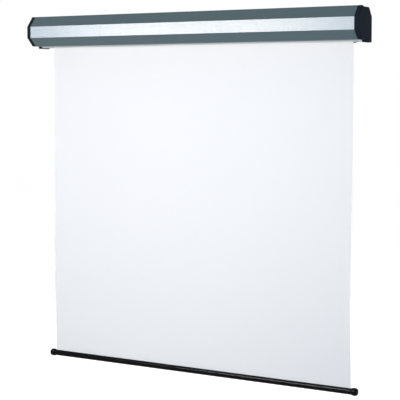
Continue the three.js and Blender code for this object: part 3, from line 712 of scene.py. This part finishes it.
@dataclass(frozen=True)
class Housing:
    """The case, the rail and the shaped steel inside, which keep the shapes of their CAD nodes."""

    nodes: dict[str, bpy.types.Object]
    weld: float = 0.01 * MM
    turn_kept: float = 24.0
    shell_edge: float = 0.7 * MM
    strip_edge: float = 0.3 * MM
    cap_edge: float = 0.8 * MM
    bracket_edge: float = 0.2 * MM
    steel_edge: float = 0.15 * MM

    def soften(self, name: str, finish: Finish, edge: float, segments: int = 3) -> None:
        """Rounds a CAD node's edges with modifiers and finishes it.

        Args:
            name: The node.
            finish: Its finish.
            edge: The width of the rounding.
            segments: The steps of the rounding.
        """
        piece = self.nodes[name]
        weld = piece.modifiers.new("weld", "WELD")
        weld.merge_threshold = self.weld
        bevel = piece.modifiers.new("edges", "BEVEL")
        bevel.limit_method = "ANGLE"
        bevel.angle_limit = math.radians(self.turn_kept)
        bevel.width = edge
        bevel.segments = segments
        bevel.harden_normals = True
        finish.put_on(piece)
        log.info("%s keeps its CAD shape", name)

    def build(self) -> None:
        """Dresses every piece of the housing and the steel in it."""
        self.soften("case_shell", SLATE_PAINT, self.shell_edge)
        self.soften("front_band", BRUSHED_SILVER, self.strip_edge)
        self.soften("slot_lip", BARE_ALUMINIUM, self.strip_edge)
        self.soften("wall_rail", RAIL_BLACK, self.strip_edge)
        for side in ("left", "right"):
            self.soften(f"{side}_end_cap", CAP_BLACK, self.cap_edge)
            self.soften(f"{side}_bracket", ZINC_PLATE, self.bracket_edge)
        for name in ("spring_spear", "ratchet_wheel", "pawl_a", "pawl_b"):
            self.soften(name, ZINC_PLATE, self.steel_edge, segments=2)


@dataclass(frozen=True)
class ScreenCloth:
    """The hanging cloth: its edges curl forward and its foot is held in the weighted bar.

    It drifts a little from its plane. Faint ripples over the bar rise within a share of the height
    that they fade in, come and go in beats, and gather at the sides.
    """

    travel: float
    width: float = 1250 * MM
    edge_curl: float = 10 * MM
    edge_narrowing: float = 2.2 * MM
    curl_reach: float = 90 * MM
    waist_share: float = 0.72
    hem_height: float = 17 * MM
    hem_step: float = 0.25 * MM
    ripple: float = 0.9 * MM
    ripple_length: float = 78 * MM
    ripple_fade: float = 70 * MM
    ripple_rise: float = 0.3
    ripples_per_beat: float = 5.3
    gathering: float = 1.5
    drift: float = 0.8 * MM
    drift_length: float = 430 * MM
    drift_phase: float = 0.7
    drift_bows: float = 1.5
    columns: int = 200
    rows: int = 260

    def front(
        self, across: float, share: float, top: float, bottom: float, middle: float
    ) -> Vector:
        """A point of the sheet's middle surface.

        Args:
            across: The place across the sheet, from -1 to 1.
            share: The place down the sheet, from 0 to 1.
            top: The Z of its upper edge.
            bottom: The Z of its lower edge.
            middle: The Y that it hangs at.

        Returns:
            The point.
        """
        bow = math.sin(math.pi * share ** (math.log(0.5) / math.log(self.waist_share))) ** 2
        half = self.width / 2
        to_edge = half * (1 - abs(across))
        curl = self.edge_curl * bow * max(0.0, 1 - to_edge / self.curl_reach) ** 2
        x = across * (half - self.edge_narrowing * bow)
        z = top + (bottom - top) * share
        above = z - bottom
        held = math.sin(math.pi * share) ** 0.5
        swell = math.sin(FULL_TURN * x / self.drift_length + self.drift_phase)
        swell *= math.sin(math.pi * share * self.drift_bows)
        foot = math.sin(FULL_TURN * x / self.ripple_length)
        foot *= math.sin(FULL_TURN * x / (self.ripples_per_beat * self.ripple_length))
        foot *= abs(across) ** self.gathering
        foot *= 1 - math.exp(-above / (self.ripple_rise * self.ripple_fade))
        foot *= math.exp(-above / self.ripple_fade)
        y = middle - curl + self.drift * swell * held * bow + self.ripple * foot
        return Vector((x, y, z))

    def build(self) -> None:
        """Makes the sheet as a thin closed skin and hangs it."""
        low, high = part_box("screen_cloth")
        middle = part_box("cloth_roll")[1].y - CLOTH_THICKNESS / 2
        rings = []
        for row in range(self.rows + 1):
            share = row / self.rows
            line = [
                self.front(2 * column / self.columns - 1, share, high.z, low.z, middle)
                for column in range(self.columns + 1)
            ]
            above = line[0].z - low.z
            step = self.hem_step if above < self.hem_height else 0.0
            near = [(p.x, p.y - CLOTH_THICKNESS / 2 - step, p.z) for p in line]
            far = [(p.x, p.y + CLOTH_THICKNESS / 2, p.z) for p in reversed(line)]
            rings.append(near + far)
        piece = mesh_object("hanging_cloth", *stitched(rings), smooth_below=50)
        in_place(piece, MATT_CLOTH, Body.CASE, "screen_cloth")
        length = high.z - low.z
        keep = 1 - self.travel / length
        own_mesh(piece)


@dataclass(frozen=True)
class RollerSet:
    """The sprung roller: tube, wound cloth, end plugs, bearings and the torsion spring."""

    tube_wall: float = 1.2 * MM
    layer_gap: float = 0.04 * MM
    spear_radius: float = 5 * MM
    idle_pin_radius: float = 4 * MM
    bush_wall: float = 2.7 * MM
    flange_thickness: float = 4.4 * MM
    plug_edge: float = 0.6 * MM
    shoulder_radius: float = 7 * MM
    bush_flange_thickness: float = 2.2 * MM
    pin_radius: float = 1.5 * MM
    pin_head_height: float = 1.4 * MM
    rivet_radius: float = 1.5 * MM
    rivet_head_height: float = 0.8 * MM
    rivet_crown: float = 0.72
    rivet_edge: float = 0.35 * MM
    spring_coils: int = 26
    spring_tail: float = 4.4 * MM
    wire_radius: float = 1.1 * MM
    steps_per_coil: int = 28
    roll_steps: int = 72

    def axle(self) -> Matrix:
        """Where the roller's axis lies."""
        return axis_of("roller_tube")

    def span(self, node: str, way: int = 1) -> tuple[float, float, float]:
        """How far a round node reaches along X, and its radius.

        Args:
            node: The node.
            way: 1 where X is read outwards from the middle to the right, -1 to the left.

        Returns:
            The inner end, the outer end and the radius.
        """
        low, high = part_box(node)
        ends = sorted((way * low.x, way * high.x))
        return ends[0], ends[1], (high.z - low.z) / 2

    def facing(self, way: int) -> Matrix:
        """The axle's frame with X running outwards to the right, or to the left."""
        return self.axle() @ (Matrix() if way > 0 else Matrix.Rotation(math.pi, 4, "Z"))

    def sleeve(self, node: str, bore: float, finish: Finish, body: Body) -> None:
        """A plain ring on the axle.

        Args:
            node: The node that it stands for.
            bore: The radius of its bore.
            finish: Its finish.
            body: The body that it moves with.
        """
        low, high, outer = self.span(node)
        profile = [(low, bore), (low, outer), (high, outer), (high, bore)]
        turned(node, finish, body, self.axle(), profile, hollow=True, sides=FINE_SIDES)

    def plug(self, node: str, way: int, bore: float) -> None:
        """An end plug: a flange outside the tube and a spigot in it.

        Args:
            node: The node that it stands for.
            way: 1 at the right end, -1 at the left.
            bore: The radius of its bore.
        """
        inner, outer, flange = self.span(node, way)
        tube_radius = self.span("roller_tube")[2]
        spigot = tube_radius - self.tube_wall - FIT_GAP
        step = outer - self.flange_thickness
        turned(node, NYLON_WHITE, Body.ROLLER, self.facing(way), [
            (outer, bore), (outer, flange), (step, flange), (step, spigot), (inner, spigot),
            (inner, bore),
        ], self.plug_edge, hollow=True, sides=FINE_SIDES)

    def wound_cloth(self) -> None:
        """The turns of cloth that stay on the tube, as one spiral."""
        low, high, outer = self.span("cloth_roll")
        pitch = CLOTH_THICKNESS + self.layer_gap
        tube_radius = self.span("roller_tube")[2]
        turns = (outer - tube_radius - FIT_GAP - CLOTH_THICKNESS) / pitch
        count = round(turns * self.roll_steps)
        axle = self.axle().translation
        outside, inside = [], []
        for step in range(count + 1):
            angle = FULL_TURN * (count - step) / self.roll_steps
            radius = outer - pitch * (count - step) / self.roll_steps
            for side, reach in ((outside, radius), (inside, radius - CLOTH_THICKNESS)):
                side.append((reach * math.cos(angle), reach * math.sin(angle)))
        section = [(axle.y + y, axle.z + z) for y, z in outside + inside[::-1]]
        rings = [[(x, *point) for point in section] for x in (low, high)]
        points, faces = stitched(rings, capped=False)
        size = len(section)
        for first in (0, size):
            last = first + size - 1
            for step in range(count):
                faces.append([first + step, first + step + 1, last - step - 1, last - step])
        piece = mesh_object("wound_cloth", points, faces)
        in_place(piece, MATT_CLOTH, Body.ROLLER, "cloth_roll")

    def idle_end(self) -> None:
        """The left end: a pin in the plug that runs in a bush."""
        bore = self.idle_pin_radius + FIT_GAP
        self.plug("idle_plug", -1, bore)
        inner, outer, _ = self.span("idle_pin", -1)
        face = self.span("idle_plug", -1)[1] + FIT_GAP
        bush_in, bush_out, flange = self.span("idle_bush", -1)
        shoulder_end = bush_in - FIT_GAP
        radius, shoulder = self.idle_pin_radius, self.shoulder_radius
        turned("idle_pin", ZINC_PLATE, Body.ROLLER, self.facing(-1), [
            (inner, 0), (inner, radius), (face, radius), (face, shoulder), (shoulder_end, shoulder),
            (shoulder_end, radius), (outer, radius), (outer, 0),
        ])
        step, body = bush_in + self.bush_flange_thickness, bore + self.bush_wall
        turned("idle_bush", NYLON_WHITE, Body.CASE, self.facing(-1), [
            (bush_in, bore), (bush_in, flange), (step, flange), (step, body), (bush_out, body),
            (bush_out, bore),
        ], hollow=True)

    def spring_end(self) -> None:
        """The right end: plug, bushes, collar, anchor and the pins of the pawls."""
        bore = self.spear_radius + FIT_GAP
        seat = bore + self.bush_wall + FIT_GAP
        self.plug("pawl_plug", 1, seat)
        self.sleeve("spear_bush", bore, NYLON_WHITE, Body.ROLLER)
        self.sleeve("anchor_bush", bore, NYLON_WHITE, Body.ROLLER)
        self.sleeve("spring_anchor", seat, ZINC_PLATE, Body.ROLLER)
        self.sleeve("spring_collar", bore, ZINC_PLATE, Body.CASE)
        for letter in "ab":
            node = f"pawl_pin_{letter}"
            low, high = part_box(node)
            head = (high.z - low.z) / 2
            base = high.x - self.pin_head_height
            turned(node, ZINC_PLATE, Body.ROLLER, axis_of(node), [
                (low.x, 0), (low.x, self.pin_radius), (base, self.pin_radius), (base, head),
                (high.x, head), (high.x, 0),
            ])

    def spring(self) -> None:
        """The torsion spring, with a straight tail at each end."""
        low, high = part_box("torsion_spring")
        axle = self.axle().translation
        reach = (high.y - low.y) / 2 - self.wire_radius
        start, run = low.x + self.spring_tail, high.x - low.x - 2 * self.spring_tail
        steps = self.spring_coils * self.steps_per_coil
        line = [Vector((low.x, axle.y, axle.z + reach))]
        for step in range(steps + 1):
            turn = FULL_TURN * step / self.steps_per_coil
            line.append(Vector((
                start + run * step / steps,
                axle.y + reach * math.sin(turn),
                axle.z + reach * math.cos(turn),
            )))
        line.append(Vector((high.x, axle.y, axle.z + reach)))
        coil = wire("spring_wire", line, self.wire_radius)
        in_place(coil, ZINC_PLATE, Body.CASE, "torsion_spring")

    def cross_pins(self) -> None:
        """The rivets of the plugs and the two pins through the spear."""
        axle = self.axle().translation
        for side in ("left", "right"):
            for number in (1, 2):
                node = f"{side}_plug_rivet_{number}"
                low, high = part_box(node)
                way = 1 if number == 1 else -1
                tip, crown = sorted(way * (z - axle.z) for z in (low.z, high.z))
                base, head = crown - self.rivet_head_height, (high.x - low.x) / 2
                place = Matrix.Translation(((low.x + high.x) / 2, *axle.yz))
                upright = place @ Matrix.Rotation(-way * math.pi / 2, 4, "Y")
                turned(node, ZINC_PLATE, Body.ROLLER, upright, [
                    (tip, 0), (tip, self.rivet_radius), (base, self.rivet_radius), (base, head),
                    (crown, self.rivet_crown * head), (crown, 0),
                ], self.rivet_edge)
        for node, spin in (("ratchet_pin", "Y"), ("spear_retainer_pin", "Z")):
            low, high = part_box(node)
            half, radius = max(high - low) / 2, min(high - low) / 2
            place = Matrix.Translation((low + high) / 2) @ Matrix.Rotation(math.pi / 2, 4, spin)
            profile = [(-half, 0), (-half, radius), (half, radius), (half, 0)]
            turned(node, ZINC_PLATE, Body.CASE, place, profile)

    def build(self) -> None:
        """Makes every piece of the roller set."""
        bore = self.span("roller_tube")[2] - self.tube_wall
        self.sleeve("roller_tube", bore, BARE_ALUMINIUM, Body.ROLLER)
        self.wound_cloth()
        self.idle_end()
        self.spring_end()
        self.spring()
        self.cross_pins()


@dataclass(frozen=True)
class Fasteners:
    """Pan head screws with a cross recess and a cut thread."""

    shank_radius: float = 1.5 * MM
    head_radius: float = 2.9 * MM
    head_height: float = 2.1 * MM
    head_edge: float = 0.35 * MM
    crown_share: float = 0.55
    flank_share: float = 0.45
    plain_length: float = 0.4 * MM
    point_share: float = 0.6
    thread_pitch: float = 0.7 * MM
    thread_depth: float = 0.22 * MM
    steps_per_thread: int = 10
    recess_half: float = 1.45 * MM
    recess_flare: float = 0.3 * MM
    recess_foot: float = 0.35
    recess_width: float = 0.6 * MM
    recess_depth: float = 1.1 * MM
    sides: int = 36
    length_digits: int = 5

    def master(self, length: float) -> bpy.types.Mesh:
        """One screw along its own X: the head's bearing face is at 0 and the tip at its length.

        Args:
            length: The shank's length.

        Returns:
            The screw's mesh.
        """
        top = -self.head_height
        head = rounded([
            (top, 0), (top, self.crown_share * self.head_radius),
            (self.flank_share * top, self.head_radius), (0, self.head_radius),
            (0, self.shank_radius), (self.plain_length, self.shank_radius),
        ], self.head_edge, closed=False)[1:]
        threaded = length - 2 * self.plain_length
        steps = round(threaded / (self.thread_pitch / self.steps_per_thread))
        rings = [[(x, radius, None) for _ in range(self.sides)] for x, radius in head]
        for step in range(1, steps + 1):
            x = self.plain_length + threaded * step / steps
            rings.append([(x, self.shank_radius, i) for i in range(self.sides)])
        rings.append([(length, self.point_share * self.shank_radius, None)] * self.sides)
        points = []
        for ring in rings:
            line = []
            for i, (x, radius, cut) in enumerate(ring):
                turn = FULL_TURN * i / self.sides
                if cut is not None:
                    phase = (x / self.thread_pitch - i / self.sides) % 1
                    radius -= self.thread_depth * (0.5 + 0.5 * math.cos(FULL_TURN * phase))
                line.append((x, radius * math.sin(turn), radius * math.cos(turn)))
            points.append(line)
        screw = mesh_object("screw_blank", *stitched(points))
        for turn in (0, math.pi / 2):
            cutter = self.cutter(top, turn)
            cut = screw.modifiers.new("recess", "BOOLEAN")
            cut.object = cutter
            cut.operation = "DIFFERENCE"
            bpy.context.view_layer.update()
            depsgraph = bpy.context.evaluated_depsgraph_get()
            screw.data = bpy.data.meshes.new_from_object(screw.evaluated_get(depsgraph))
            screw.modifiers.clear()
            bpy.data.objects.remove(cutter)
        mesh = screw.data
        bpy.data.objects.remove(screw)
        return mesh

    def cutter(self, top: float, turn: float) -> bpy.types.Object:
        """One wing of the cross recess, narrower at its foot.

        Args:
            top: The X of the head's top.
            turn: How far the wing is turned about X.

        Returns:
            The cutter.
        """
        spin = Matrix.Rotation(turn, 4, "X")
        wide = self.recess_width / 2
        rings = []
        for x, half in (
            (top - self.recess_depth, self.recess_half + self.recess_flare),
            (top, self.recess_half),
            (top + self.recess_depth, self.recess_foot * self.recess_half),
        ):
            corners = ((-half, -wide), (half, -wide), (half, wide), (-half, wide))
            rings.append([spin @ Vector((x, y, z)) for y, z in corners])
        return mesh_object("screw_recess", *stitched(rings), smooth_below=1)

    def build(self) -> None:
        """Puts a screw in the place of each screw node."""
        masters = {}
        places = [(f"lock_screw_{i}", 1) for i in (1, 2, 3)]
        for side in ("left", "right"):
            for kind in ("bracket", "cap"):
                places += [(f"{side}_{kind}_screw_{i}", -1) for i in (1, 2)]
        for node, way in places:
            low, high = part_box(node)
            length = round(high.y - low.y - self.head_height, self.length_digits)
            if length not in masters:
                masters[length] = self.master(length)
            bearing = low.y + self.head_height if way > 0 else high.y - self.head_height
            piece = linked(f"fine_{node}", masters[length].copy())
            spin = Matrix.Rotation(way * math.pi / 2, 4, "Z")
            centre = (low + high) / 2
            piece.data.transform(Matrix.Translation((centre.x, bearing, centre.z)) @ spin)
            in_place(piece, ZINC_PLATE, Body.CASE, node)


@dataclass(frozen=True)
class WeightedBar:
    """The round bar at the cloth's foot: a slotted tube, the hem rod and two end knobs.

    The knob's shares are points of its outline, as parts of its length and of its radius.
    """

    wall: float = 1.5 * MM
    slot_width: float = 2.4 * MM
    slot_lip: float = 0.5 * MM
    tube_edge: float = 0.3 * MM
    rod_edge: float = 0.8 * MM
    knob_edge: float = 0.9 * MM
    arc_steps: int = 90
    neck_radius: float = 10.9 * MM
    neck_length: float = 2.4 * MM
    groove: float = 0.5 * MM
    dimple_radius: float = 2.2 * MM
    dimple_depth: float = 0.5 * MM
    dimple_floor: float = 0.8
    knob_shares: tuple[tuple[float, float], ...] = (
        (0.12, 0.88), (0.19, 0.93), (0.32, 0.985), (0.45, 1.0), (0.62, 0.992), (0.76, 0.945),
        (0.87, 0.845), (0.95, 0.68), (0.988, 0.5), (1.0, 0.3),
    )

    def tube(self) -> None:
        """The slotted tube, with rolled edges along its slot."""
        low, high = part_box("bar_tube")
        centre, outer = (low + high) / 2, (high.y - low.y) / 2
        inner = outer - self.wall
        section = []
        for radius, order in ((outer, 1), (inner, -1)):
            gap = math.asin(self.slot_width / 2 / radius)
            sweep = FULL_TURN - 2 * gap
            turns = [gap + sweep * i / self.arc_steps for i in range(self.arc_steps + 1)]
            section += [(centre.y + radius * math.sin(t), centre.z + radius * math.cos(t))
                        for t in turns[::order]]
        section = rounded(section, self.slot_lip)
        piece = extruded("slotted_bar", section, low.x, high.x, self.tube_edge)
        in_place(piece, BAR_BLACK, Body.BAR, "bar_tube")

    def knob(self, side: str, way: int) -> None:
        """An end knob: a spigot in the tube, a short neck and a blunt round end.

        Args:
            side: left or right.
            way: -1 for left, 1 for right.
        """
        node = f"{side}_bar_knob"
        low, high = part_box(node)
        tube_low, tube_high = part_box("bar_tube")
        radius = (high.z - low.z) / 2
        inner, outer = sorted((way * low.x, way * high.x))
        spigot = (tube_high.z - tube_low.z) / 2 - self.wall - FIT_GAP
        shoulder = tube_high.x + FIT_GAP
        length = outer - shoulder
        neck = shoulder + self.neck_length
        profile = [(inner, 0), (inner, spigot), (shoulder, spigot), (shoulder, self.neck_radius),
                   (neck - self.groove, self.neck_radius), (neck, self.neck_radius)]
        profile += [(shoulder + run * length, size * radius) for run, size in self.knob_shares]
        floor = outer - self.dimple_depth
        profile += [(outer, self.dimple_radius), (floor, self.dimple_floor * self.dimple_radius),
                    (floor, 0)]
        place = axis_of(node)
        if way < 0:
            place = place @ Matrix.Rotation(math.pi, 4, "Z")
        turned(node, KNOB_BLACK, Body.BAR, place, profile, self.knob_edge, sides=FINE_SIDES)

    def hem_rod(self) -> None:
        """The rod in the cloth's hem."""
        low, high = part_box("hem_rod")
        radius = (high.z - low.z) / 2
        profile = [(low.x, 0), (low.x, radius), (high.x, radius), (high.x, 0)]
        turned("hem_rod", NYLON_WHITE, Body.BAR, axis_of("hem_rod"), profile, self.rod_edge)

    def build(self) -> None:
        """Makes the bar's pieces."""
        self.tube()
        self.hem_rod()
        self.knob("left", -1)
        self.knob("right", 1)


@dataclass(frozen=True)
class Lamp:
    """A soft rectangular lamp that the camera doesn't see."""

    name: str
    place: Point
    aim: Point
    width: float
    height: float
    watts: float
    beam: float = 180.0
    colour: Colour = (1.0, 1.0, 1.0)
    use: Use = Use.LIGHT

    def build(self) -> None:
        """Hangs the lamp and points it."""
        light = bpy.data.lights.new(self.name, "AREA")
        light.shape = "RECTANGLE"
        light.size, light.size_y = self.width, self.height
        light.energy = self.watts
        light.spread = math.radians(self.beam)
        light.color = self.colour
        made = linked(self.name, light)
        made.location = self.place
        towards = Vector(self.aim) - Vector(self.place)
        made.rotation_euler = towards.to_track_quat("-Z", "Y").to_euler()
        made.visible_camera = False
        made.visible_glossy = self.use is not Use.LIGHT
        made.visible_diffuse = self.use is not Use.GLINT


@dataclass(frozen=True)
class Studio:
    """Camera, white surroundings, pale floor and soft lamps."""

    camera_place: Point = (2.050, -3.736, -0.221)
    camera_turn: float = 28.58
    camera_dip: float = 3.51
    lens: float = 103.4
    shift_up: float = -0.10
    floor_level: float = -2.05
    floor_half: float = 18.0
    floor_colour: Colour = (0.62, 0.62, 0.62)
    floor_glow: Colour = (0.815, 0.762, 0.720)
    ambient: Colour = (0.293, 0.378, 0.445)
    lamps: tuple[Lamp, ...] = (
        Lamp(
            "key", place=(-0.6, -3.6, -0.7), aim=(-0.3, 0.0, -0.5),
            width=2.4, height=2.0, watts=21.4, beam=90.0, colour=(1.0, 0.905, 0.865),
        ),
        Lamp(
            "band_strip", place=(-1.14, -2.4, 0.1), aim=(-0.03, 0.0, 0.0),
            width=1.4, height=0.06, watts=0.205, beam=50.0, colour=(1.0, 0.77, 0.58), use=Use.BOTH,
        ),
        Lamp(
            "bar_strip", place=(-0.85, -2.4, 0.75), aim=(0.35, 0.0, -1.27),
            width=1.5, height=0.06, watts=13.0, beam=40.0, use=Use.GLINT,
        ),
        Lamp(
            "front_fill", place=(1.6, -4.4, -0.7), aim=(0.1, 0.0, 0.1),
            width=2.6, height=1.4, watts=6.9, beam=50.0,
        ),
        Lamp(
            "rear_fill", place=(-1.5, 4.6, 1.2), aim=(0.0, 0.0, -0.4),
            width=3.0, height=3.0, watts=120.0, colour=(1.0, 0.93, 0.88),
        ),
    )

    def camera(self) -> None:
        """Sets up the camera where the photograph was taken from."""
        data = bpy.data.cameras.new("camera")
        data.lens = self.lens
        data.shift_y = self.shift_up
        made = linked("camera", data)
        made.location = self.camera_place
        tilt = math.radians(90 - self.camera_dip)
        made.rotation_euler = (tilt, 0, math.radians(self.camera_turn))
        bpy.context.scene.camera = made

    def seen(self, graph: Graph) -> Value:
        """1 for what the camera, a gloss or a clear surface sees, and 0 for light on surfaces."""
        rays = [graph.node("ShaderNodeLightPath", {}, {}, f"Is {kind} Ray")
                for kind in ("Camera", "Glossy", "Transmission")]
        return (rays[0] + rays[1] + rays[2]).clamped()

    def surroundings(self) -> None:
        """A world that looks white and lights the object softly."""
        world = bpy.data.worlds.new("surroundings")
        bpy.context.scene.world = world
        graph = Graph(world)
        soft = graph.coloured("ShaderNodeBackground", self.ambient)
        white = graph.coloured("ShaderNodeBackground", (1, 1, 1))
        mixed = graph.both_shaders(self.seen(graph), soft, white)
        graph.node("ShaderNodeOutputWorld", {}, {"Surface": mixed})

    def floor(self) -> None:
        """A pale floor far below the bar, which takes its shadow and is clear from below."""
        half = self.floor_half
        corners = [(-half, -half), (half, -half), (half, half), (-half, half)]
        piece = mesh_object("floor", [(x, y, self.floor_level) for x, y in corners], [[0, 1, 2, 3]])
        made = bpy.data.materials.new("pale_floor")
        graph = Graph(made)
        matt = graph.coloured("ShaderNodeBsdfDiffuse", self.floor_colour)
        glow = graph.coloured("ShaderNodeEmission", self.floor_glow)
        both = graph.node("ShaderNodeAddShader", {}, {0: matt, 1: glow})
        mixed = graph.both_shaders(self.seen(graph), matt, both)
        below = graph.node("ShaderNodeNewGeometry", {}, {}, "Backfacing")
        clear = graph.node("ShaderNodeBsdfTransparent", {}, {})
        one_sided = graph.both_shaders(below, mixed, clear)
        graph.node("ShaderNodeOutputMaterial", {}, {"Surface": one_sided})
        piece.data.materials.append(made)

    def build(self) -> None:
        """Sets up the whole studio."""
        self.camera()
        self.surroundings()
        self.floor()
        for lamp in self.lamps:
            lamp.build()
        bpy.context.scene.view_settings.view_transform = "Standard"


def main() -> None:
    """Builds the studio and every sub-assembly, in order."""
    logging.basicConfig(level=logging.INFO, format="%(name)s: %(message)s")
    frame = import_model()
    slide = next(joint for joint in frame["joints"] if joint["name"] == "bar_slide")
    Studio().build()
    Housing(frame["nodes"]).build()
    RollerSet().build()
    Fasteners().build()
    WeightedBar().build()
    ScreenCloth(travel=max(slide["range_m"])).build()


if __name__ == "__main__":
    main()
